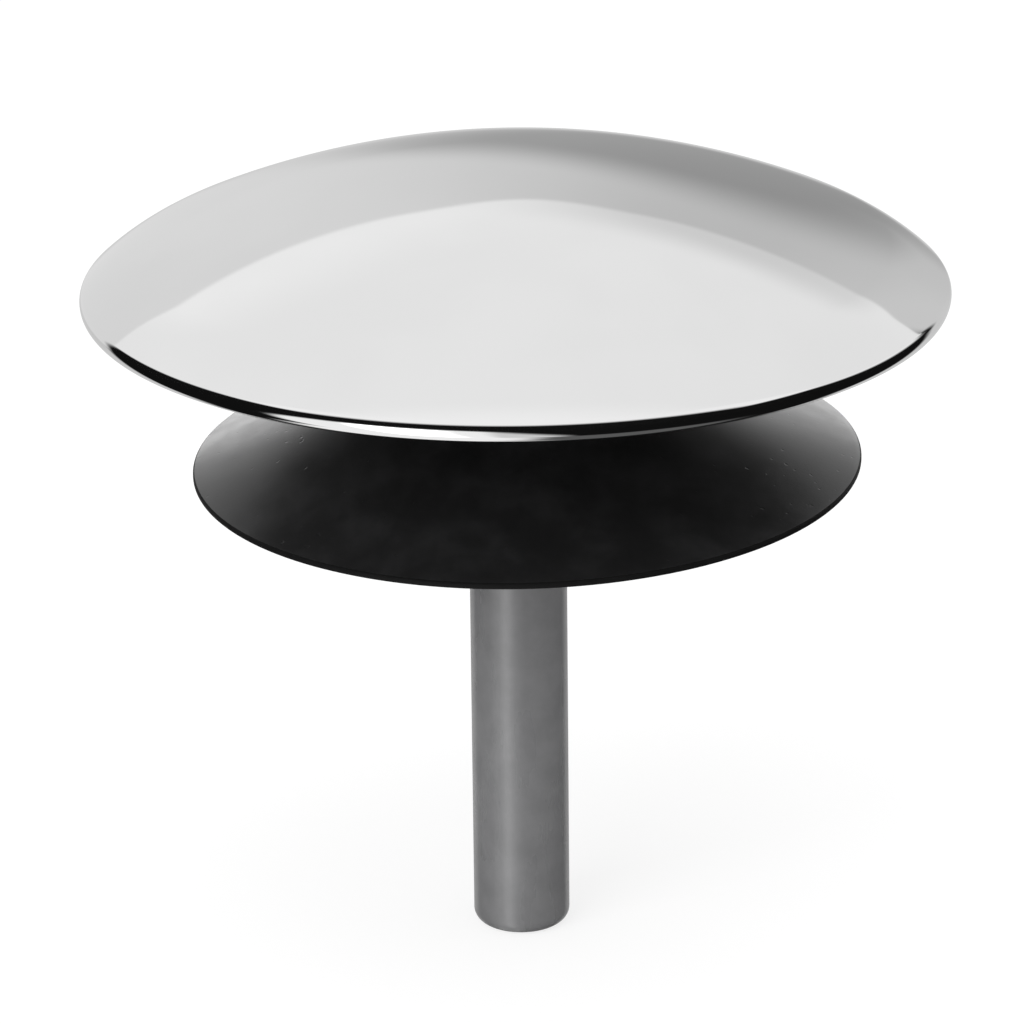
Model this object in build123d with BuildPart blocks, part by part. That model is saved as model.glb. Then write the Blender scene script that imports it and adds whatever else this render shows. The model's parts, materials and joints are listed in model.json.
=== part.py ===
from build123d import *

import os
from math import cos, radians, sin

# A bath drain stopper, modelled in millimetres. The axis is +Z, and the foot of the stem stands on z = 0.
# A pressed dome is turned in at its rim round a ribbed core. A bolt, held by its head in the core, carries
# everything below: the rubber lip seal, clamped by a washer and a nut, and the stem, which screws on to the
# bolt's end to set the height and is locked there by a second nut on a split washer.

# The stem, and the threaded insert in its top
stem_diameter = 8.0
stem_length = 36.0
stem_foot_fillet = 1.1
stem_top_chamfer = 0.3
insert_diameter = 6.6
insert_length = 8.0
insert_groove_width = 1.6
insert_groove_depth = 0.3
stem_bore_spare = 2.0

# The bolt, its nuts and its washers
thread_diameter = 5.0
bolt_length = 35.0
bolt_tip_chamfer = 0.6
bolt_head_height = 3.5
bolt_head_flats = 8.0
nut_flats = 8.0
nut_countersink = 0.25
clamp_nut_height = 4.0
lock_nut_height = 2.7
clamp_washer_diameter = 18.0
clamp_washer_thickness = 1.0
clamp_washer_edge = 0.2
lock_washer_diameter = 9.2
lock_washer_thickness = 1.2
lock_washer_split = 0.8
adjusting_gap = 1.75

# The dome: its outside is a wide crown arc, a tighter shoulder arc and the turned rim
dome_diameter = 70.0
sheet_thickness = 0.55
rim_inside_radius = 0.4
rim_slope = 42.6
shoulder_radius = 17.7
shoulder_slope = 24.7
flange_width = 3.5

# The core under the dome
core_web = 2.0
core_wall = 1.6
core_rim_gap = 0.9
core_boss_diameter = 15.0
rib_count = 8
rib_thickness = 1.4
ring_rib_diameter = 38.0
spigot_diameter = 12.0
spigot_length = 8.0
spigot_chamfer = 0.4

# The rubber seal
neck_diameter = 20.0
neck_length = 6.5
neck_fillet = 6.4
lip_diameter = 54.0
lip_drop = 14.25
lip_thickness = 0.55
lip_round_share = 0.35
washer_recess = 0.4

# Clearances, and the overrun of a cut
thread_gap = 0.05
washer_gap = 0.15
bore_gap = 0.3
seat_gap = 0.15
press_gap = 0.02
overrun = 1.0

# Heights up the axis, each stacked on the one before
insert_base = stem_length - insert_length
lock_washer_base = stem_length
lock_nut_base = lock_washer_base + lock_washer_thickness
clamp_nut_base = lock_nut_base + lock_nut_height + adjusting_gap
clamp_washer_base = clamp_nut_base + clamp_nut_height
spigot_base = clamp_washer_base + clamp_washer_thickness
underside = spigot_base + spigot_length
flange_top = underside + sheet_thickness
web_top = underside + core_web
bolt_tip = web_top - bolt_length
stem_bore_base = bolt_tip - adjusting_gap - stem_bore_spare
lip_base = underside - lip_drop

# Radii that several pieces share
stem_radius = stem_diameter / 2
insert_radius = insert_diameter / 2
thread_radius = thread_diameter / 2
bolt_hole_radius = thread_radius + washer_gap
threaded_hole_radius = thread_radius + thread_gap
clamp_washer_radius = clamp_washer_diameter / 2
spigot_radius = spigot_diameter / 2
dome_radius = dome_diameter / 2
flange_radius = dome_radius - flange_width
rim_radius = rim_inside_radius + sheet_thickness

# The centres of the dome's three arcs. Each arc runs on from the last in the same direction.
rim_centre = (dome_radius - rim_radius, underside + rim_radius)
shoulder_centre = (
    rim_centre[0] - (shoulder_radius - rim_radius) * sin(radians(rim_slope)),
    rim_centre[1] - (shoulder_radius - rim_radius) * cos(radians(rim_slope)),
)
crown_radius = shoulder_radius + shoulder_centre[0] / sin(radians(shoulder_slope))
crown_centre = (0, shoulder_centre[1] - (crown_radius - shoulder_radius) * cos(radians(shoulder_slope)))
crown_height = crown_centre[1] + crown_radius


def dome_curve(inset):
    """Draws the crown and the shoulder, that far inside the dome's outside, from the axis to the rim."""
    crown = CenterArc(crown_centre, crown_radius - inset, 90, -shoulder_slope)
    shoulder = CenterArc(
        shoulder_centre, shoulder_radius - inset, 90 - shoulder_slope, shoulder_slope - rim_slope
    )
    return crown, shoulder


def rim_curve(inset):
    """Draws the turned rim, that far inside the dome's outside, from the shoulder round to the flange."""
    return CenterArc(rim_centre, rim_radius - inset, 90 - rim_slope, rim_slope - 180)


def hexagon(flats):
    """Draws a hexagon of that size across its flats."""
    RegularPolygon(radius=flats / 2, side_count=6, major_radius=False)


def turned_hexagon(base, height, flats):
    """A hexagon block with its corners turned back at both ends, as on a nut or a bolt's head."""
    flat_radius = flats / 2
    corner_radius = flat_radius / cos(radians(30))
    turned_height = (corner_radius - flat_radius) / 2
    with BuildPart() as block:
        with BuildSketch(Plane.XY.offset(base)):
            hexagon(flats)
        extrude(amount=height)
        with BuildSketch(Plane.XZ):
            with BuildLine():
                Polyline(
                    (0, base),
                    (flat_radius, base),
                    (corner_radius, base + turned_height),
                    (corner_radius, base + height - turned_height),
                    (flat_radius, base + height),
                    (0, base + height),
                    close=True,
                )
            make_face()
        revolve(axis=Axis.Z, mode=Mode.INTERSECT)
    return block.part


def hexagon_nut(name, base, height):
    """A hexagon nut with a plain hole at the thread's size, countersunk at both ends."""
    block = turned_hexagon(base, height, nut_flats)
    with BuildPart() as nut:
        add(block)
        with Locations(nut.faces().sort_by(Axis.Z)[-1]):
            Hole(radius=threaded_hole_radius)
        hole_edges = nut.edges().filter_by(GeomType.CIRCLE).group_by(SortBy.RADIUS)[0]
        chamfer(hole_edges, length=nut_countersink)
    nut.part.label = name
    return nut


# Dome: one sheet, pressed to the curve, turned round the rim and in under the core
with BuildPart() as dome_cap:
    with BuildSketch(Plane.XZ):
        with BuildLine():
            crown_outside, shoulder_outside = dome_curve(0)
            rim_outside = rim_curve(0)
            crown_inside, shoulder_inside = dome_curve(sheet_thickness)
            rim_inside = rim_curve(sheet_thickness)
            Line(crown_inside @ 0, crown_outside @ 0)
            Polyline(
                rim_outside @ 1, (flange_radius, underside), (flange_radius, flange_top), rim_inside @ 1
            )
        make_face()
    revolve(axis=Axis.Z)
dome_cap.part.label = "dome_cap"

# Core: a moulded disc that fills the dome, with ribs on top and a spigot for the seal below
with BuildPart() as core:
    with BuildSketch(Plane.XZ):
        with BuildLine():
            crown_under, shoulder_under = dome_curve(sheet_thickness + seat_gap)
            Polyline(
                shoulder_under @ 1, ((shoulder_under @ 1).X, flange_top), (0, flange_top), crown_under @ 0
            )
        make_face()
        with Locations((0, flange_top)):
            Rectangle(
                rim_centre[0] - core_rim_gap,
                crown_height,
                align=(Align.MIN, Align.MIN),
                mode=Mode.INTERSECT,
            )
            Rectangle(flange_radius - seat_gap, sheet_thickness, align=(Align.MIN, Align.MAX))
        with Locations((0, underside)):
            Rectangle(spigot_radius, spigot_length, align=(Align.MIN, Align.MAX))
    revolve(axis=Axis.Z)
    chamfer(core.edges().group_by(Axis.Z)[0], length=spigot_chamfer)
    with BuildSketch(Plane.XY.offset(web_top)):
        Circle(flange_radius - seat_gap - core_wall)
        Circle((ring_rib_diameter + rib_thickness) / 2, mode=Mode.SUBTRACT)
        Circle((ring_rib_diameter - rib_thickness) / 2)
        Circle(core_boss_diameter / 2, mode=Mode.SUBTRACT)
        with PolarLocations(0, rib_count):
            Rectangle(dome_radius, rib_thickness, align=(Align.MIN, Align.CENTER), mode=Mode.SUBTRACT)
    extrude(amount=crown_height - web_top, mode=Mode.SUBTRACT)
    with BuildSketch(Plane.XY.offset(web_top)):
        hexagon(bolt_head_flats + 2 * seat_gap)
    extrude(amount=crown_height - web_top, mode=Mode.SUBTRACT)
    with BuildSketch(Plane.XY.offset(spigot_base - overrun)):
        Circle(bolt_hole_radius)
    extrude(amount=web_top - spigot_base + 2 * overrun, mode=Mode.SUBTRACT)
core.part.label = "core"

# Bolt: its hexagon head lies in the core's pocket, and its shank is drawn at the thread's full diameter
bolt_head = turned_hexagon(web_top, bolt_head_height, bolt_head_flats)
with BuildPart() as bolt:
    add(bolt_head)
    with BuildSketch(Plane.XY.offset(bolt_tip)):
        Circle(thread_radius)
    extrude(amount=bolt_length)
    chamfer(bolt.edges().group_by(Axis.Z)[0], length=bolt_tip_chamfer)
bolt.part.label = "bolt"

# Seal: one rubber moulding, a thick neck on the spigot that flares into a thin skirt
with BuildPart() as lip_seal:
    with BuildSketch(Plane.XZ) as seal_section:
        neck_radius = neck_diameter / 2
        lip_radius = lip_diameter / 2
        neck_hole_radius = spigot_radius + press_gap
        recess_radius = clamp_washer_radius + washer_gap
        neck_base = underside - neck_length
        with BuildLine():
            Polyline(
                (neck_hole_radius, underside),
                (neck_radius, underside),
                (neck_radius, neck_base),
                (lip_radius, lip_base + lip_thickness),
                (lip_radius, lip_base),
                (recess_radius, spigot_base - washer_recess),
                (recess_radius, spigot_base),
                (neck_hole_radius, spigot_base),
                close=True,
            )
        make_face()
        lip_corners = seal_section.vertices().group_by(Axis.X)[-1]
        fillet(lip_corners, radius=lip_thickness * lip_round_share)
        neck_corner = seal_section.vertices().sort_by_distance((neck_radius, neck_base))[0]
        fillet(neck_corner, radius=neck_fillet)
    revolve(axis=Axis.Z)
lip_seal.part.label = "lip_seal"

# Clamp washer and nut: they draw the seal's neck up against the core
with BuildPart() as clamp_washer:
    with BuildSketch(Plane.XY.offset(clamp_washer_base)):
        Circle(clamp_washer_radius)
        Circle(bolt_hole_radius, mode=Mode.SUBTRACT)
    extrude(amount=clamp_washer_thickness)
    chamfer(clamp_washer.edges().group_by(SortBy.LENGTH)[-1], length=clamp_washer_edge)
clamp_washer.part.label = "clamp_washer"

clamp_nut = hexagon_nut("clamp_nut", clamp_nut_base, clamp_nut_height)

# Lock nut and split washer: they jam against the top of the stem
lock_nut = hexagon_nut("lock_nut", lock_nut_base, lock_nut_height)

with BuildPart() as lock_washer:
    with BuildSketch(Plane.XY.offset(lock_washer_base)):
        Circle(lock_washer_diameter / 2)
        Circle(bolt_hole_radius, mode=Mode.SUBTRACT)
        Rectangle(
            lock_washer_diameter, lock_washer_split, align=(Align.MIN, Align.CENTER), mode=Mode.SUBTRACT
        )
    extrude(amount=lock_washer_thickness)
lock_washer.part.label = "lock_washer"

# Insert: a threaded sleeve moulded into the stem's top, with a groove that the stem's plastic fills
insert_middle = insert_base + insert_length / 2
with BuildPart() as stem_insert:
    with BuildSketch(Plane.XY.offset(insert_base)):
        Circle(insert_radius)
    extrude(amount=insert_length)
    with BuildSketch(Plane.XY.offset(insert_middle)):
        Circle(insert_radius)
        Circle(insert_radius - insert_groove_depth, mode=Mode.SUBTRACT)
    extrude(amount=insert_groove_width / 2, both=True, mode=Mode.SUBTRACT)
    with Locations(stem_insert.faces().sort_by(Axis.Z)[-1]):
        Hole(radius=threaded_hole_radius)
stem_insert.part.label = "stem_insert"

# Stem: a plain rod with a rounded foot, moulded round the insert and bored below it for the bolt's end
with BuildPart() as stem:
    with BuildSketch(Plane.XZ):
        socket_radius = insert_radius + press_gap
        collar_radius = socket_radius - insert_groove_depth
        collar_half = insert_groove_width / 2 - press_gap
        bore_radius = thread_radius + bore_gap
        with BuildLine():
            Polyline(
                (0, 0),
                (stem_radius, 0),
                (stem_radius, stem_length),
                (socket_radius, stem_length),
                (socket_radius, insert_middle + collar_half),
                (collar_radius, insert_middle + collar_half),
                (collar_radius, insert_middle - collar_half),
                (socket_radius, insert_middle - collar_half),
                (socket_radius, insert_base),
                (bore_radius, insert_base),
                (bore_radius, stem_bore_base),
                (0, stem_bore_base),
                close=True,
            )
        make_face()
    revolve(axis=Axis.Z)
    fillet(stem.edges().group_by(Axis.Z)[0], radius=stem_foot_fillet)
    top_edge = stem.edges().group_by(Axis.Z)[-1].sort_by(SortBy.RADIUS)[-1]
    chamfer(top_edge, length=stem_top_chamfer)
stem.part.label = "stem"

pieces = (
    dome_cap,
    core,
    bolt,
    lip_seal,
    clamp_washer,
    clamp_nut,
    lock_nut,
    lock_washer,
    stem_insert,
    stem,
)
os.makedirs("parts", exist_ok=True)
for piece in pieces:
    export_step(piece.part, f"parts/{piece.part.label}.step")
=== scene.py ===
"""Looks for the drain stopper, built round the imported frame.

Lengths named here are in millimetres and become metres through MM. The camera stands on the -Y side, so the
back of the studio is +Y.
"""

import json
import math

import bmesh
import bpy
from mathutils import Matrix, Vector


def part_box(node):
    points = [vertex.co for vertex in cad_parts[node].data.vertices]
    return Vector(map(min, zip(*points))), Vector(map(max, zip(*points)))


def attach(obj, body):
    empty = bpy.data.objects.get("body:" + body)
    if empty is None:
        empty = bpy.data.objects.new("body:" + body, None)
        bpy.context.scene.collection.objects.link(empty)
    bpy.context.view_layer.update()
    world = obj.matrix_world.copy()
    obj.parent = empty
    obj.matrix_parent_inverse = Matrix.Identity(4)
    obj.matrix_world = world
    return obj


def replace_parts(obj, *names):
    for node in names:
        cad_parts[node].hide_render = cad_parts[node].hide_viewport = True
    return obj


MM = 0.001

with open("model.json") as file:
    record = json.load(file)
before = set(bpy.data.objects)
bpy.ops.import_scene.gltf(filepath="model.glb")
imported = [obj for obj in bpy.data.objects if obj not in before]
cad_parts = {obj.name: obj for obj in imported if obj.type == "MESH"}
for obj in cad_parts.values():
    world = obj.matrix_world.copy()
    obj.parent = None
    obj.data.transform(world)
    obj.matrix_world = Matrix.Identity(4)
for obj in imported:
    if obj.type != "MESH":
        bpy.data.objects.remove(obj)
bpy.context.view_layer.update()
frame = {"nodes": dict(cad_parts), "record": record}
nodes = frame["nodes"]


# Node trees

def add_node(tree, kind, inputs=None, **settings):
    """A shader node with its settings and the values of its inputs."""
    made = tree.nodes.new(kind)
    for name, value in settings.items():
        setattr(made, name, value)
    for name, value in (inputs or {}).items():
        if isinstance(value, bpy.types.NodeSocket):
            tree.links.new(value, made.inputs[name])
        else:
            made.inputs[name].default_value = value
    return made


def math_node(tree, operation, *values):
    """The result of a Math node on numbers or sockets."""
    made = tree.nodes.new("ShaderNodeMath")
    made.operation = operation
    for place, value in enumerate(values):
        if isinstance(value, bpy.types.NodeSocket):
            tree.links.new(value, made.inputs[place])
        else:
            made.inputs[place].default_value = value
    return made.outputs[0]


def step_node(tree, value, low, high, to_low=0.0, to_high=1.0):
    """A smooth step from to_low to to_high as value goes from low to high."""
    made = tree.nodes.new("ShaderNodeMapRange")
    made.interpolation_type = "SMOOTHSTEP"
    backwards = low > high
    made.inputs["From Min"].default_value = high if backwards else low
    made.inputs["From Max"].default_value = low if backwards else high
    made.inputs["To Min"].default_value = to_high if backwards else to_low
    made.inputs["To Max"].default_value = to_low if backwards else to_high
    tree.links.new(value, made.inputs["Value"])
    return made.outputs["Result"]


def mix_node(tree, share, first, second):
    """Between two numbers or sockets by share."""
    made = tree.nodes.new("ShaderNodeMix")
    made.data_type = "FLOAT"
    for name, value in (("Factor", share), ("A", first), ("B", second)):
        socket = next(s for s in made.inputs if s.name == name and s.type == "VALUE")
        if isinstance(value, bpy.types.NodeSocket):
            tree.links.new(value, socket)
        else:
            socket.default_value = value
    return next(s for s in made.outputs if s.type == "VALUE")


def mix_color(tree, share, first, second):
    """Between two colours by share."""
    made = tree.nodes.new("ShaderNodeMix")
    made.data_type = "RGBA"
    for name, kind, value in (("Factor", "VALUE", share), ("A", "RGBA", first), ("B", "RGBA", second)):
        socket = next(s for s in made.inputs if s.name == name and s.type == kind)
        if isinstance(value, bpy.types.NodeSocket):
            tree.links.new(value, socket)
        else:
            socket.default_value = value
    return next(s for s in made.outputs if s.type == "RGBA")


class Finish:
    """A material's node tree round one Principled shader, on object coordinates in metres."""

    def __init__(self, name, color, **values):
        self.material = bpy.data.materials.new(name)
        self.material.use_nodes = True
        self.tree = self.material.node_tree
        self.shader = next(n for n in self.tree.nodes if n.type == "BSDF_PRINCIPLED")
        self.shader.inputs["Base Color"].default_value = (*color, 1.0)
        for key, value in values.items():
            self.shader.inputs[key.replace("_", " ")].default_value = value
        self.place = add_node(self.tree, "ShaderNodeTexCoord").outputs["Object"]

    def stretched(self, scale):
        """The place with each axis scaled, for grain that runs one way."""
        return add_node(
            self.tree, "ShaderNodeMapping", {"Vector": self.place, "Scale": scale}
        ).outputs["Vector"]

    def noise(self, size, detail=4.0, roughness=0.5, place=None, distortion=0.0):
        """Noise whose blotches are about size millimetres across."""
        return add_node(
            self.tree,
            "ShaderNodeTexNoise",
            {
                "Vector": place or self.place,
                "Scale": 1.0 / (size * MM),
                "Detail": detail,
                "Roughness": roughness,
                "Distortion": distortion,
            },
        ).outputs["Fac"]

    def radius(self):
        """The distance from the stopper's axis."""
        x, y = add_node(self.tree, "ShaderNodeSeparateXYZ", {"Vector": self.place}).outputs[:2]
        square = math_node(self.tree, "MULTIPLY_ADD", x, x, math_node(self.tree, "MULTIPLY", y, y))
        return math_node(self.tree, "SQRT", square)

    def color(self, share, first, second):
        """The base colour, between two by share."""
        mixed = mix_color(self.tree, share, (*first, 1.0), (*second, 1.0))
        self.tree.links.new(mixed, self.shader.inputs["Base Color"])

    def rough(self, value):
        """The roughness."""
        self.tree.links.new(value, self.shader.inputs["Roughness"])

    def bump(self, height, depth, strength=1.0, under=None):
        """Bump of a depth in millimetres, on top of another bump if one is given."""
        inputs = {"Height": height, "Distance": depth * MM, "Strength": strength}
        if under is not None:
            inputs["Normal"] = under
        made = add_node(self.tree, "ShaderNodeBump", inputs).outputs["Normal"]
        self.tree.links.new(made, self.shader.inputs["Normal"])
        return made


# Materials

# The chrome's rim is scuffed from this radius on, and fully from that.
SCUFFS_START = 32.5
SCUFFS_FULL = 34.6


def chrome_plate():
    """Bright plate: nearly a mirror, with faint waves, wiping haze, specks and hairline scratches."""
    made = Finish("chrome_plate", (0.83, 0.83, 0.83), Metallic=1.0)
    tone = made.noise(14.0, detail=2.0)
    made.color(step_node(made.tree, tone, 0.35, 0.65), (0.82, 0.82, 0.82), (0.84, 0.84, 0.84))
    smear = made.noise(9.0, detail=5.0, roughness=0.6, distortion=0.6)
    haze = step_node(made.tree, smear, 0.42, 0.7, 0.0, 0.022)
    specks = step_node(made.tree, made.noise(0.35, detail=2.0), 0.7, 0.78, 0.0, 0.03)
    edge = step_node(made.tree, made.radius(), SCUFFS_START * MM, SCUFFS_FULL * MM, 0.0, 0.02)
    scuffs = math_node(made.tree, "MULTIPLY", edge, made.noise(0.9, detail=4.0, roughness=0.7))
    total = math_node(made.tree, "ADD", math_node(made.tree, "ADD", haze, specks), scuffs)
    made.rough(math_node(made.tree, "ADD", total, 0.035))
    wave = made.bump(made.noise(7.0, detail=1.0), 0.004, strength=0.5)
    hair = made.noise(0.5, detail=2.0, place=made.stretched((1.0, 0.06, 1.0)))
    made.bump(step_node(made.tree, hair, 0.66, 0.72), 0.0004, strength=0.5, under=wave)
    return made.material


def seal_rubber():
    """Black moulded rubber with a satin skin, pale dust in places and a fine grain."""
    made = Finish("seal_rubber", (0.019, 0.019, 0.0194), Specular_IOR_Level=0.5)
    dust = step_node(made.tree, made.noise(4.0, detail=6.0, roughness=0.6, distortion=0.3), 0.35, 0.8)
    made.color(dust, (0.012, 0.012, 0.0122), (0.026, 0.026, 0.0266))
    made.rough(math_node(made.tree, "ADD", math_node(made.tree, "MULTIPLY", dust, 0.08), 0.32))
    grain = made.bump(made.noise(0.22, detail=3.0, roughness=0.6), 0.012, strength=0.35)
    pits = step_node(made.tree, made.noise(0.7, detail=1.0), 0.72, 0.78)
    made.bump(pits, -0.03, strength=0.5, under=grain)
    return made.material


def lip_edge_painted_shade():
    """The lip's edge as a black line: painted shade, a darker and duller copy of the rubber where the rounded
    edge would catch light.
    """
    made = Finish("lip_edge_painted_shade", (0.006, 0.006, 0.006), Specular_IOR_Level=0.1)
    cloud = made.noise(1.5, detail=4.0)
    made.color(cloud, (0.004, 0.004, 0.004), (0.009, 0.009, 0.009))
    made.rough(math_node(made.tree, "ADD", math_node(made.tree, "MULTIPLY", cloud, 0.2), 0.55))
    made.bump(made.noise(0.2, detail=3.0, roughness=0.6), 0.015, strength=0.4)
    return made.material


def stem_plastic():
    """Grey extruded rod: satin, with fine lines along it and light rubbing from its guide."""
    made = Finish("stem_plastic", (0.2, 0.2, 0.204), Specular_IOR_Level=0.5)
    cloud = made.noise(3.0, detail=5.0, roughness=0.6)
    made.color(step_node(made.tree, cloud, 0.3, 0.7), (0.185, 0.185, 0.189), (0.214, 0.214, 0.218))
    lines = made.noise(0.16, detail=3.0, place=made.stretched((1.0, 1.0, 0.02)))
    rub = step_node(made.tree, made.noise(2.2, detail=4.0, place=made.stretched((1.0, 1.0, 0.2))), 0.45, 0.8)
    made.rough(math_node(made.tree, "SUBTRACT", 0.29, math_node(made.tree, "MULTIPLY", rub, 0.06)))
    drawn = made.bump(lines, 0.006, strength=0.4)
    made.bump(made.noise(0.3, detail=2.0), 0.005, strength=0.3, under=drawn)
    return made.material


def core_plastic():
    """Dark moulded plastic with a matt grain."""
    made = Finish("core_plastic", (0.05, 0.05, 0.052), Specular_IOR_Level=0.5)
    cloud = made.noise(4.0, detail=4.0)
    made.color(step_node(made.tree, cloud, 0.3, 0.7), (0.042, 0.042, 0.044), (0.06, 0.06, 0.062))
    made.rough(math_node(made.tree, "ADD", math_node(made.tree, "MULTIPLY", cloud, 0.15), 0.45))
    made.bump(made.noise(0.25, detail=3.0, roughness=0.6), 0.015, strength=0.4)
    return made.material


def steel():
    """Turned stainless steel: fine rings round the axis, slightly uneven."""
    made = Finish("steel", (0.6, 0.6, 0.59), Metallic=1.0)
    wave = {"Scale": 1.0 / (1.2 * MM), "Distortion": 1.2, "Detail": 3.0, "Detail Scale": 2.0}
    rings = add_node(
        made.tree,
        "ShaderNodeTexWave",
        {"Vector": made.place, **wave},
        wave_type="RINGS",
        rings_direction="Z",
    ).outputs["Fac"]
    cloud = made.noise(2.5, detail=4.0)
    made.color(cloud, (0.55, 0.55, 0.54), (0.66, 0.655, 0.65))
    made.rough(math_node(made.tree, "ADD", math_node(made.tree, "MULTIPLY", cloud, 0.16), 0.2))
    made.bump(rings, 0.004, strength=0.3)
    return made.material


def brass():
    """Turned brass, a little dull."""
    made = Finish("brass", (0.68, 0.5, 0.24), Metallic=1.0)
    cloud = made.noise(1.6, detail=5.0, roughness=0.6)
    made.color(cloud, (0.56, 0.39, 0.17), (0.76, 0.58, 0.3))
    made.rough(math_node(made.tree, "ADD", math_node(made.tree, "MULTIPLY", cloud, 0.2), 0.22))
    made.bump(made.noise(0.2, detail=2.0), 0.005, strength=0.3)
    return made.material


materials = {
    "chrome_plate": chrome_plate(),
    "seal_rubber": seal_rubber(),
    "lip_edge_painted_shade": lip_edge_painted_shade(),
    "stem_plastic": stem_plastic(),
    "core_plastic": core_plastic(),
    "steel": steel(),
    "brass": brass(),
}

for part in frame["record"]["subparts"]:
    shown = nodes[part["node"]]
    shown.data.materials.clear()
    shown.data.materials.append(materials[part["material_slot"]])


# Fine pieces in place of the CAD solids that show most. Slopes are in degrees.

SEAL_NECK = 10.0
SEAL_NECK_LENGTH = 6.5
SEAL_FILLET = 6.4
SEAL_HOLE = 6.02
SEAL_RECESS = 9.15
SEAL_RECESS_DEPTH = 0.4
LIP_THICKNESS = 0.55
LIP_ROUND = 0.19
LIP_SHIFT = 0.8
LIP_RISE = 0.15
LIP_RISE_RIGHT = 0.5
LIP_RISE_BACK = 0.6
LIP_SPREAD = 0.0066
SEAL_SIDES = 240
SEAL_FILLET_STEPS = 24
SKIRT_STEPS = 24
SKIRT_UNDER_STEPS = 16
LIP_STEPS = 6

DOME_SHEET = 0.55
DOME_RIM_INSIDE = 0.4
DOME_RIM_SLOPE = 42.6
DOME_SHOULDER_RADIUS = 17.7
DOME_SHOULDER_SLOPE = 24.7
DOME_FLANGE = 3.5
DOME_FLANGE_ROUND = 0.12
DOME_SIDES = 300
CROWN_STEPS = 40
SHOULDER_STEPS = 20
RIM_STEPS = 28
CROWN_INSIDE_STEPS = 16
SHOULDER_INSIDE_STEPS = 8
RIM_INSIDE_STEPS = 14
FLANGE_STEPS = 4

THREAD_RADIUS = 2.5
THREAD_DEPTH = 0.47
THREAD_PITCH = 0.8
THREAD_CREST_SHARE = 0.16
THREAD_ROOT_SHARE = 0.22
THREAD_TIP = 0.6
THREAD_STEPS = 12
BOLT_SIDES = 48
BOLT_HEAD_HEIGHT = 3.5
BOLT_HEAD_FLATS = 8.0

SHARP_EDGE = 35.0
SHARP_THREAD_EDGE = 50.0
ON_AXIS = 1e-6


def arc(center, radius, start, end, steps):
    """Points round an arc in the plane of radius and height. Angles are in degrees, and 90 is straight up."""
    angles = [math.radians(start + (end - start) * k / steps) for k in range(steps + 1)]
    return [(center[0] + radius * math.cos(a), center[1] + radius * math.sin(a)) for a in angles]


def rounded(before, at, after, radius, steps):
    """Points round a corner, on an arc that touches both of its lines."""
    at = Vector(at)
    inward, outward = (Vector(before) - at).normalized(), (Vector(after) - at).normalized()
    half = inward.angle(outward) / 2
    center = at + (inward + outward).normalized() * (radius / math.sin(half))
    reach = radius / math.tan(half)
    first = at + inward * reach - center
    last = at + outward * reach - center
    turn = math.atan2(first.x * last.y - first.y * last.x, first.dot(last))
    start = math.atan2(first.y, first.x)
    return arc(center, radius, math.degrees(start), math.degrees(start + turn), steps)


def make_piece(name, points, faces, body, slot, sharp=SHARP_EDGE):
    """A piece of the stopper from points in millimetres, smooth but for its sharp edges."""
    mesh = bpy.data.meshes.new(name)
    mesh.from_pydata([(x * MM, y * MM, z * MM) for x, y, z in points], [], faces)
    shape = bmesh.new()
    shape.from_mesh(mesh)
    bmesh.ops.recalc_face_normals(shape, faces=shape.faces)
    for face in shape.faces:
        face.smooth = True
    for edge in shape.edges:
        edge.smooth = edge.calc_face_angle(0.0) < math.radians(sharp)
    shape.to_mesh(mesh)
    shape.free()
    mesh.materials.append(materials[slot])
    made = bpy.data.objects.new(name, mesh)
    bpy.context.scene.collection.objects.link(made)
    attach(made, body)
    return made


def ring_faces(rings):
    """Faces between each ring of points and the next. A ring of one point is a pole on the axis."""
    faces = []
    for lower, upper in rings:
        if len(lower) == 1 and len(upper) == 1:
            continue
        count = max(len(lower), len(upper))
        for k in range(count):
            n = (k + 1) % count
            if len(lower) == 1:
                faces.append((lower[0], upper[n], upper[k]))
            elif len(upper) == 1:
                faces.append((lower[k], lower[n], upper[0]))
            else:
                faces.append((lower[k], lower[n], upper[n], upper[k]))
    return faces


def turned(outline, sides):
    """Points and faces of the closed outline, a loop of radius and height, turned round the axis."""
    points, rings = [], []
    for radius, height in outline:
        count = 1 if radius < ON_AXIS else sides
        rings.append(range(len(points), len(points) + count))
        for k in range(count):
            a = 2 * math.pi * k / count
            points.append((radius * math.cos(a), radius * math.sin(a), height))
    return points, ring_faces(zip(rings, rings[1:] + rings[:1]))


def smooth_share(value, low, high):
    """From 0 at low to 1 at high, with soft ends."""
    t = min(1.0, max(0.0, (value - low) / (high - low)))
    return t * t * (3 - 2 * t)


def node_box(node):
    """A node's lowest and highest corners in millimetres."""
    low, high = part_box(node)
    return Vector(low) / MM, Vector(high) / MM


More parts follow.
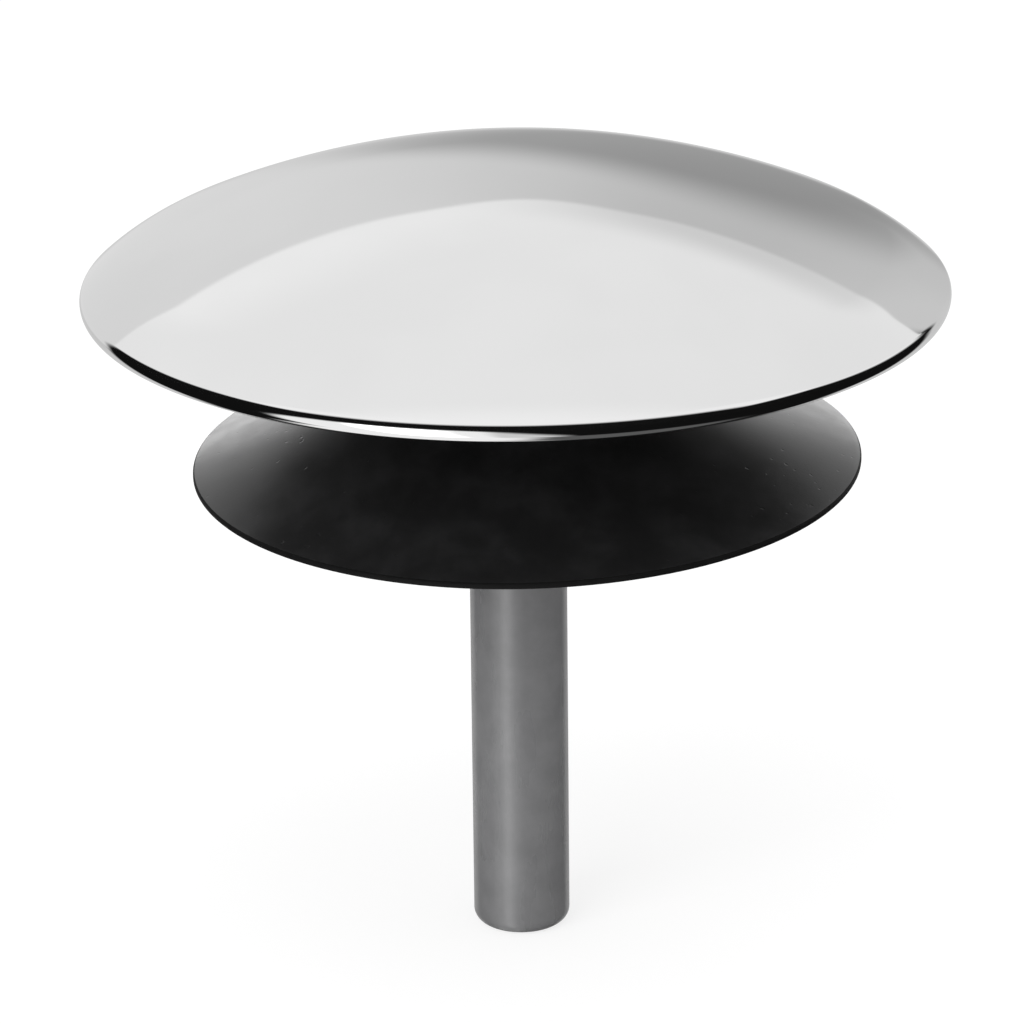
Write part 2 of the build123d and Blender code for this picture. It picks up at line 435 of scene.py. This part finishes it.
def make_dome():
    """The pressed sheet: a wide crown, a tighter shoulder, the rim turned under and the flange below."""
    low, high = node_box("dome_cap")
    rim_radius = DOME_RIM_INSIDE + DOME_SHEET
    rim = (high.x - rim_radius, low.z + rim_radius)
    slope, turn = math.radians(DOME_RIM_SLOPE), math.radians(DOME_SHOULDER_SLOPE)
    reach = DOME_SHOULDER_RADIUS - rim_radius
    shoulder = (rim[0] - reach * math.sin(slope), rim[1] - reach * math.cos(slope))
    crown_radius = DOME_SHOULDER_RADIUS + shoulder[0] / math.sin(turn)
    crown = (0.0, shoulder[1] - (crown_radius - DOME_SHOULDER_RADIUS) * math.cos(turn))
    to_shoulder, to_rim = 90.0 - DOME_SHOULDER_SLOPE, 90.0 - DOME_RIM_SLOPE

    outside = arc(crown, crown_radius, 90.0, to_shoulder, CROWN_STEPS)
    outside += arc(shoulder, DOME_SHOULDER_RADIUS, to_shoulder, to_rim, SHOULDER_STEPS)[1:]
    outside += arc(rim, rim_radius, to_rim, -90.0, RIM_STEPS)[1:]
    edge = high.x - DOME_FLANGE
    flange = [(edge, low.z), (edge, low.z + DOME_SHEET)]
    inside = arc(rim, DOME_RIM_INSIDE, -90.0, to_rim, RIM_INSIDE_STEPS)
    shoulder_inside = DOME_SHOULDER_RADIUS - DOME_SHEET
    inside += arc(shoulder, shoulder_inside, to_rim, to_shoulder, SHOULDER_INSIDE_STEPS)[1:]
    inside += arc(crown, crown_radius - DOME_SHEET, to_shoulder, 90.0, CROWN_INSIDE_STEPS)[1:]
    lower = rounded(outside[-1], flange[0], flange[1], DOME_FLANGE_ROUND, FLANGE_STEPS)
    upper = rounded(flange[0], flange[1], inside[0], DOME_FLANGE_ROUND, FLANGE_STEPS)
    points, faces = turned(outside + lower + upper + inside, DOME_SIDES)
    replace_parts(make_piece("dome_shell", points, faces, "cap", "chrome_plate"), "dome_cap")


def straight(start, end, steps):
    """The points between two, without them."""
    return [tuple(Vector(start).lerp(Vector(end), k / steps)) for k in range(1, steps)]


def set_lip(points, edge):
    """The seal's points, with the thin lip set a little wide and out of true, as rubber does."""
    moved = []
    for x, y, z in points:
        share = smooth_share(math.hypot(x, y), SEAL_NECK, edge)
        rise = (LIP_RISE_RIGHT * x + LIP_RISE_BACK * y) / edge + LIP_RISE
        spread = 1.0 + LIP_SPREAD * share
        moved.append((spread * x + LIP_SHIFT * share, spread * y, z + share * rise))
    return moved


def make_seal():
    """The rubber moulding: a thick neck, a thin skirt and the hollow below it."""
    low, high = node_box("lip_seal")
    top, lip, foot = high.z, low.z, high.z - SEAL_NECK_LENGTH
    seat = node_box("clamp_washer")[1].z
    edge = high.x
    skirt_top = (edge, lip + LIP_THICKNESS)
    skirt_low = (edge, lip)
    recess = (SEAL_RECESS, seat - SEAL_RECESS_DEPTH)
    outline = [(SEAL_HOLE, top), (SEAL_NECK - LIP_ROUND, top), (SEAL_NECK, top - LIP_ROUND)]
    outline += rounded((SEAL_NECK, top), (SEAL_NECK, foot), skirt_top, SEAL_FILLET, SEAL_FILLET_STEPS)
    outline += straight(outline[-1], skirt_top, SKIRT_STEPS)
    edge_start = len(outline)
    outline += rounded((SEAL_NECK, foot), skirt_top, skirt_low, LIP_ROUND, LIP_STEPS)
    outline += rounded(skirt_top, skirt_low, recess, LIP_ROUND, LIP_STEPS)
    edge_end = len(outline) - 1
    outline += straight(skirt_low, recess, SKIRT_UNDER_STEPS)
    outline += [recess, (SEAL_RECESS, seat), (SEAL_HOLE, seat)]
    points, faces = turned(outline, SEAL_SIDES)
    seal = make_piece("seal_moulding", set_lip(points, edge), faces, "cap", "seal_rubber")
    # The faces round the lip's edge get the darker, duller rubber: painted shade.
    seal.data.materials.append(materials["lip_edge_painted_shade"])
    for face in seal.data.polygons[edge_start * SEAL_SIDES : edge_end * SEAL_SIDES]:
        face.material_index = 1
    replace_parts(seal, "lip_seal")


def thread_radius(turns):
    """The thread's radius where it has run that many turns past a crest."""
    part = abs((turns + 0.5) % 1.0 - 0.5) * 2
    flank = smooth_share(part, THREAD_CREST_SHARE, 1.0 - THREAD_ROOT_SHARE)
    return THREAD_RADIUS - THREAD_DEPTH * flank


def hexagon_radius(turn, flats):
    """How far a hexagon reaches at a share of a turn. It has a corner at 0."""
    sixth = math.pi / 3
    return flats / 2 / math.cos((2 * math.pi * turn % sixth) - sixth / 2)


def add_loop(points, loops, height, radius_at):
    """One more loop of the bolt's points. radius_at gives the radius for each share of a turn."""
    loops.append(range(len(points), len(points) + BOLT_SIDES))
    for k in range(BOLT_SIDES):
        share = k / BOLT_SIDES
        a = 2 * math.pi * share
        radius = radius_at(share)
        points.append((radius * math.cos(a), radius * math.sin(a), height))


def make_bolt():
    """The bolt with its thread cut, which the CAD solid leaves plain."""
    low, high = node_box("bolt")
    head = high.z - BOLT_HEAD_HEIGHT
    corner = BOLT_HEAD_FLATS / 2 / math.cos(math.radians(30))
    rings = round((head - low.z) / THREAD_PITCH * THREAD_STEPS)
    levels = [low.z + (head - low.z) * k / rings for k in range(rings + 1)]
    points = [(0.0, 0.0, low.z)]
    loops = [range(0, 1)]
    for height in levels:
        up = height - low.z
        blunt = THREAD_RADIUS - THREAD_TIP + up
        add_loop(points, loops, height, lambda share: min(blunt, thread_radius(up / THREAD_PITCH - share)))
    turned_back = (corner - BOLT_HEAD_FLATS / 2) / 2
    for height in (head, head + turned_back, high.z - turned_back, high.z):
        limit = corner if head < height < high.z else BOLT_HEAD_FLATS / 2
        add_loop(points, loops, height, lambda share: min(limit, hexagon_radius(share, BOLT_HEAD_FLATS)))
    loops.append(range(len(points), len(points) + 1))
    points.append((0.0, 0.0, high.z))
    faces = ring_faces(zip(loops, loops[1:]))
    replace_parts(make_piece("threaded_bolt", points, faces, "cap", "steel", sharp=SHARP_THREAD_EDGE), "bolt")


make_dome()
make_seal()
make_bolt()


# The studio. Its patches were set until the chrome looked as it does in the photograph.

PLAIN_LIGHT = 0.62
DARK_ROOM = 0.006
OPEN = 999.0
LOWEST_UP = 0.02

# A limit is a low end, a high end and a softness. Heights are elevations and widths are azimuths.
BEHIND_LIGHT = 0.64
BEHIND_HEIGHT = (-46.0, 0.0, 4.0)
BEHIND_WIDTH = (-50.0, 48.0, 4.0)

BACKDROP_HEIGHT = (-10.0, 60.0, 3.0)
BACKDROP_WIDTH = (-51.0, 44.0, 3.0)
BACKDROP_FALL = {"low": -16.0, "high": 14.0, "to_low": 0.78, "to_high": 0.57}
BACKDROP_RISE = {"low": 16.0, "high": 36.0, "to_low": 0.0, "to_high": 0.08}
BLOB_MIDDLE = 5.3
BLOB_LEAN = 0.42
BLOB_ELEVATION = 3.0
BLOB_WIDTH = 15.0
BLOB_HEIGHT = 24.0
BLOB_EDGE = {"low": 0.35, "high": 1.0, "to_low": 0.56, "to_high": 1.0}
BLOB_LEFT_END = {"low": -3.0, "high": -8.0}

SIDE_LIGHT = 0.97
SIDE_HEIGHT = (11.0, 60.0, 5.0)
SIDE_WIDTH = (50.0, 98.0, 4.0)
SIDE_BEND_START = 68.0
SIDE_BEND = 0.012

TABLE_LIGHT = 1.0
TABLE_MIDDLE = {"low": -10.0, "high": -4.0, "to_low": TABLE_LIGHT, "to_high": 0.68}
TABLE_TOP = (-OPEN, 2.0, 6.0)
TABLE_TOP_MIDDLE = -23.0
TABLE_TOP_BEND = 0.0135
TABLE_LEFT = (-57.0, OPEN, 5.0)
TABLE_LEFT_LEAN = -0.45
TABLE_RIGHT = (-OPEN, -7.5, 6.0)
TABLE_RIGHT_LEAN = 0.43
UNDER_HEIGHT = (-OPEN, -60.0, 4.0)
UNDER_LEFT = (-OPEN, 0.02, 0.1)
STREAK_LIGHT = 0.11
STREAK_HEIGHT = (-OPEN, -61.0, 4.0)
STREAK_RIGHT = (0.06, OPEN, 0.06)

WINDOW_LIGHT = 3.2
WINDOW_HEIGHT = (-60.0, -4.0, 6.0)
WINDOW_WIDTH = (-42.0, -20.0, 5.0)

# The card's back edge is an elevation, and its other edges are in units across and along. A drop lowers the
# back edge from an azimuth on: a start, a rate and perhaps a most. The glow and the streak are an azimuth, an
# elevation, a width and a height.
CARD_LIGHT = 0.925
CARD_BACK = (31.4, OPEN, 0.7)
CARD_LEFT = (-1.8, OPEN, 0.3)
CARD_LEFT_LEAN = 0.28
CARD_RIGHT = (-OPEN, 2.6, 0.45)
CARD_FRONT = (-0.77, OPEN, 0.27)
CARD_FRONT_BULGE = 0.1
CARD_DROP_LEFT = (27.0, 0.03)
CARD_DROP_RIGHT = (12.0, 0.0065)
CARD_DROP_CORNER = (38.0, 0.1, 12.0)
CARD_PEAK_AZIMUTH = 1.0
CARD_PEAK = {"low": 8.0, "high": 0.0, "to_low": 0.0, "to_high": 1.4}
CARD_GLOW = (-20.0, 34.0, 24.0, 14.0)
CARD_GLOW_EDGE = {"low": 1.0, "high": 0.2, "to_low": 0.0, "to_high": 0.05}
CARD_STREAK = (17.0, 31.5, 22.0, 8.0)
CARD_STREAK_EDGE = {"low": 1.0, "high": 0.2, "to_low": 0.0, "to_high": -0.19}
CARD_FRONT_RISE = {"low": -0.02, "high": -0.27, "to_low": 0.0, "to_high": 0.08}
CARD_RIGHT_FALL = {"low": -0.6, "high": 0.8, "to_low": 0.0, "to_high": -0.025}

FLOOR_HALF = 700.0
FLOOR_GAP = 0.02
FLOOR_COLOR = (0.9, 0.9, 0.9, 1.0)
FLOOR_SEEN_COLOR = (0.3, 0.3, 0.3, 1.0)
FLOOR_SEEN_LIFT = 0.78
WHITE = (1.0, 1.0, 1.0, 1.0)

LAMPS_FACE = 33.0


def band(tree, value, low, high, soft):
    """One between low and high, with soft ends."""
    return math_node(
        tree,
        "MULTIPLY",
        step_node(tree, value, low - soft, low + soft),
        step_node(tree, value, high + soft, high - soft),
    )


def beyond(tree, value, start, rate, most=OPEN):
    """Nothing up to start, and from there rate times the square of the way past it."""
    past = math_node(tree, "MAXIMUM", math_node(tree, "SUBTRACT", value, start), 0.0)
    square = math_node(tree, "MULTIPLY", past, past)
    return math_node(tree, "MINIMUM", math_node(tree, "MULTIPLY", square, rate), most)


class Studio:
    """What a mirror sees of the studio: patches of light laid one over another, by direction in degrees.

    Azimuth is 0 at the back and 90 on the right, and front is the same angle counted from the camera's side.
    Across and along say where a direction meets a ceiling one unit above, to the right and to the back.
    """

    def __init__(self, tree):
        self.tree = tree
        way = add_node(tree, "ShaderNodeTexCoord").outputs["Generated"]
        x, y, z = add_node(tree, "ShaderNodeSeparateXYZ", {"Vector": way}).outputs
        degrees = 180.0 / math.pi
        self.azimuth = math_node(tree, "MULTIPLY", math_node(tree, "ARCTAN2", x, y), degrees)
        self.leftward = math_node(tree, "MULTIPLY", self.azimuth, -1.0)
        away = math_node(tree, "MULTIPLY", y, -1.0)
        self.front = math_node(tree, "MULTIPLY", math_node(tree, "ARCTAN2", x, away), degrees)
        self.elevation = math_node(tree, "MULTIPLY", math_node(tree, "ARCSINE", z), degrees)
        up = math_node(tree, "MAXIMUM", z, LOWEST_UP)
        self.rightness = x
        self.across = math_node(tree, "DIVIDE", x, up)
        self.along = math_node(tree, "DIVIDE", y, up)
        self.light = DARK_ROOM

    def lay(self, light, *limits):
        """Lays light over what is there, within the limits. Each is a value, two ends and a softness."""
        mask = 1.0
        for limit in limits:
            mask = math_node(self.tree, "MULTIPLY", mask, band(self.tree, *limit))
        self.light = mix_node(self.tree, mask, self.light, light)

    def leaning(self, value, slope):
        """A value to which the elevation adds slope for each degree."""
        return math_node(self.tree, "MULTIPLY_ADD", self.elevation, slope, value)

    def distance(self, azimuth, elevation, width, height):
        """How far a direction lies from a middle, in widths and heights."""
        tree = self.tree
        across = math_node(tree, "DIVIDE", math_node(tree, "SUBTRACT", self.azimuth, azimuth), width)
        up = math_node(tree, "DIVIDE", math_node(tree, "SUBTRACT", self.elevation, elevation), height)
        square = math_node(tree, "MULTIPLY_ADD", across, across, math_node(tree, "MULTIPLY", up, up))
        return math_node(tree, "SQRT", square)


def backdrop_light(studio):
    """The grey backdrop: brighter on the left, with a soft dark blob low down that leans to the right."""
    tree = studio.tree
    fall = step_node(tree, studio.azimuth, **BACKDROP_FALL)
    rise = step_node(tree, studio.azimuth, **BACKDROP_RISE)
    above = math_node(tree, "SUBTRACT", studio.elevation, BLOB_ELEVATION)
    middle = math_node(tree, "MULTIPLY_ADD", math_node(tree, "MAXIMUM", above, 0.0), BLOB_LEAN, BLOB_MIDDLE)
    off = studio.distance(middle, BLOB_ELEVATION, BLOB_WIDTH, BLOB_HEIGHT)
    blob = step_node(tree, off, **BLOB_EDGE)
    blob = mix_node(tree, step_node(tree, studio.azimuth, **BLOB_LEFT_END), blob, 1.0)
    return math_node(tree, "MULTIPLY", math_node(tree, "ADD", fall, rise), blob)


def card_light(studio):
    """The card overhead: even but for a brighter left and front, a darker right and a faint grey streak."""
    tree = studio.tree
    light = CARD_LIGHT
    for added in (
        step_node(tree, studio.distance(*CARD_GLOW), **CARD_GLOW_EDGE),
        step_node(tree, studio.distance(*CARD_STREAK), **CARD_STREAK_EDGE),
        step_node(tree, studio.along, **CARD_FRONT_RISE),
        step_node(tree, studio.across, **CARD_RIGHT_FALL),
    ):
        light = math_node(tree, "ADD", light, added)
    return light


def card_mask(studio):
    """Where the card overhead shows. Its back edge reaches lower at both ends and a little in the middle."""
    tree = studio.tree
    off = math_node(tree, "ABSOLUTE", math_node(tree, "SUBTRACT", studio.azimuth, CARD_PEAK_AZIMUTH))
    back = studio.elevation
    for drop in (
        beyond(tree, studio.leftward, *CARD_DROP_LEFT),
        beyond(tree, studio.azimuth, *CARD_DROP_RIGHT),
        beyond(tree, studio.azimuth, *CARD_DROP_CORNER),
        step_node(tree, off, **CARD_PEAK),
    ):
        back = math_node(tree, "ADD", back, drop)
    left = math_node(tree, "MULTIPLY_ADD", studio.along, CARD_LEFT_LEAN, studio.across)
    front = math_node(tree, "ADD", studio.along, beyond(tree, studio.across, 0.0, CARD_FRONT_BULGE))
    mask = 1.0
    for value, limit in (
        (back, CARD_BACK),
        (left, CARD_LEFT),
        (studio.across, CARD_RIGHT),
        (front, CARD_FRONT),
    ):
        mask = math_node(tree, "MULTIPLY", mask, band(tree, value, *limit))
    return mask


def studio_light(tree):
    """The whole studio: a dark room, a grey backdrop, a white table, a bright window and a card overhead."""
    studio = Studio(tree)
    azimuth, front, elevation = studio.azimuth, studio.front, studio.elevation
    studio.lay(BEHIND_LIGHT, (elevation, *BEHIND_HEIGHT), (azimuth, *BEHIND_WIDTH))
    studio.lay(backdrop_light(studio), (elevation, *BACKDROP_HEIGHT), (azimuth, *BACKDROP_WIDTH))
    side = math_node(tree, "SUBTRACT", elevation, beyond(tree, azimuth, SIDE_BEND_START, SIDE_BEND))
    studio.lay(SIDE_LIGHT, (side, *SIDE_HEIGHT), (azimuth, *SIDE_WIDTH))

    table = step_node(tree, front, **TABLE_MIDDLE)
    off = math_node(tree, "ABSOLUTE", math_node(tree, "SUBTRACT", front, TABLE_TOP_MIDDLE))
    top = math_node(tree, "ADD", elevation, beyond(tree, off, 0.0, TABLE_TOP_BEND))
    left = studio.leaning(front, TABLE_LEFT_LEAN)
    right = studio.leaning(front, TABLE_RIGHT_LEAN)
    studio.lay(table, (top, *TABLE_TOP), (left, *TABLE_LEFT), (right, *TABLE_RIGHT))
    studio.lay(TABLE_LIGHT, (elevation, *UNDER_HEIGHT), (studio.rightness, *UNDER_LEFT))
    studio.lay(STREAK_LIGHT, (elevation, *STREAK_HEIGHT), (studio.rightness, *STREAK_RIGHT))
    studio.lay(WINDOW_LIGHT, (elevation, *WINDOW_HEIGHT), (front, *WINDOW_WIDTH))
    return mix_node(tree, card_mask(studio), studio.light, card_light(studio))


def make_world():
    """Mirrors see the studio, the camera sees white, and everything else gets plain light."""
    world = bpy.data.worlds.new("studio")
    bpy.context.scene.world = world
    world.use_nodes = True
    tree = world.node_tree
    tree.nodes.clear()
    ray = add_node(tree, "ShaderNodeLightPath").outputs
    seen = math_node(tree, "MAXIMUM", ray["Is Camera Ray"], ray["Is Transmission Ray"])
    light = mix_node(tree, ray["Is Glossy Ray"], PLAIN_LIGHT, studio_light(tree))
    light = mix_node(tree, seen, light, 1.0)
    background = add_node(tree, "ShaderNodeBackground", {"Color": WHITE, "Strength": light})
    output = add_node(tree, "ShaderNodeOutputWorld")
    tree.links.new(background.outputs[0], output.inputs["Surface"])


def floor_material():
    """White to the camera but for the stopper's soft shadow, pale to the stopper and clear from below."""
    material = bpy.data.materials.new("floor")
    material.use_nodes = True
    tree = material.node_tree
    tree.nodes.clear()
    ray = add_node(tree, "ShaderNodeLightPath").outputs
    plain = add_node(tree, "ShaderNodeBsdfDiffuse", {"Color": FLOOR_COLOR})
    shade = add_node(tree, "ShaderNodeBsdfDiffuse", {"Color": FLOOR_SEEN_COLOR})
    lift = add_node(tree, "ShaderNodeEmission", {"Color": WHITE, "Strength": FLOOR_SEEN_LIFT})
    seen = add_node(tree, "ShaderNodeAddShader")
    tree.links.new(shade.outputs[0], seen.inputs[0])
    tree.links.new(lift.outputs[0], seen.inputs[1])
    mixed = add_node(tree, "ShaderNodeMixShader", {"Fac": ray["Is Camera Ray"]})
    tree.links.new(plain.outputs[0], mixed.inputs[1])
    tree.links.new(seen.outputs[0], mixed.inputs[2])
    underside = add_node(tree, "ShaderNodeNewGeometry").outputs["Backfacing"]
    below = add_node(tree, "ShaderNodeMixShader", {"Fac": underside})
    clear = add_node(tree, "ShaderNodeBsdfTransparent")
    tree.links.new(mixed.outputs[0], below.inputs[1])
    tree.links.new(clear.outputs[0], below.inputs[2])
    output = add_node(tree, "ShaderNodeOutputMaterial")
    tree.links.new(below.outputs[0], output.inputs["Surface"])
    return material


def make_floor():
    """A plain floor just under the foot."""
    half = FLOOR_HALF * MM
    mesh = bpy.data.meshes.new("floor")
    corners = [(x * half, y * half, -FLOOR_GAP * MM) for x, y in ((-1, -1), (1, -1), (1, 1), (-1, 1))]
    mesh.from_pydata(corners, [], [(0, 1, 2, 3)])
    mesh.materials.append(floor_material())
    floor = bpy.data.objects.new("floor", mesh)
    bpy.context.scene.collection.objects.link(floor)
    floor.visible_glossy = False


def make_lamp(name, azimuth, elevation, distance, width, height, power):
    """A soft lamp that faces the middle of the stopper. Azimuth 0 is the camera's side and 90 the right."""
    a, e = math.radians(azimuth), math.radians(elevation)
    way = Vector((math.sin(a) * math.cos(e), -math.cos(a) * math.cos(e), math.sin(e)))
    light = bpy.data.lights.new(name, "AREA")
    light.shape = "RECTANGLE"
    light.size = width * MM
    light.size_y = height * MM
    light.energy = power
    lamp = bpy.data.objects.new(name, light)
    bpy.context.scene.collection.objects.link(lamp)
    middle = Vector((0.0, 0.0, LAMPS_FACE * MM))
    lamp.location = middle + way * (distance * MM)
    lamp.rotation_mode = "QUATERNION"
    lamp.rotation_quaternion = (-way).to_track_quat("-Z", "Y")
    lamp.visible_glossy = False
    lamp.visible_camera = False
    return lamp


def light_rubber_only(lamp):
    """Lets a lamp light and gleam on the seal alone, so that the chrome doesn't mirror it."""
    lamp.visible_glossy = True
    lit = bpy.data.collections.new("sweep_lit")
    lit.objects.link(bpy.data.objects["seal_moulding"])
    lamp.light_linking.receiver_collection = lit


# The camera

CAMERA_ELEVATION = 20.5
CAMERA_ROLL = -0.63
CAMERA_DISTANCE = 437.5
CAMERA_TARGET = (-0.467, 0.0, 36.32)
CAMERA_LENS = 188.23
CAMERA_SENSOR = 36.0
CAMERA_NEAR = 10.0
CAMERA_FAR = 10000.0


def make_camera():
    """The photograph's viewpoint, found from the outlines of dome, lip and stem."""
    tilt, roll = math.radians(CAMERA_ELEVATION), math.radians(CAMERA_ROLL)
    back = Vector((0.0, -math.cos(tilt), math.sin(tilt)))
    level = Vector((1.0, 0.0, 0.0))
    rise = Vector((0.0, math.sin(tilt), math.cos(tilt)))
    right = math.cos(roll) * level + math.sin(roll) * rise
    up = math.cos(roll) * rise - math.sin(roll) * level
    data = bpy.data.cameras.new("camera")
    data.sensor_width = CAMERA_SENSOR
    data.lens = CAMERA_LENS
    data.clip_start = CAMERA_NEAR * MM
    data.clip_end = CAMERA_FAR * MM
    camera = bpy.data.objects.new("camera", data)
    bpy.context.scene.collection.objects.link(camera)
    place = (Vector(CAMERA_TARGET) + back * CAMERA_DISTANCE) * MM
    camera.matrix_world = Matrix.Translation(place) @ Matrix((right, up, back)).transposed().to_4x4()
    bpy.context.scene.camera = camera


make_world()
make_floor()
make_lamp("key", azimuth=-38.0, elevation=28.0, distance=600.0, width=420.0, height=420.0, power=1.6)
make_lamp("top", azimuth=20.0, elevation=78.0, distance=700.0, width=600.0, height=600.0, power=1.6)
sweep = make_lamp("sweep", azimuth=168.0, elevation=4.0, distance=600.0, width=760.0, height=200.0, power=1.1)
light_rubber_only(sweep)
make_camera()
bpy.context.scene.view_settings.view_transform = "Standard"
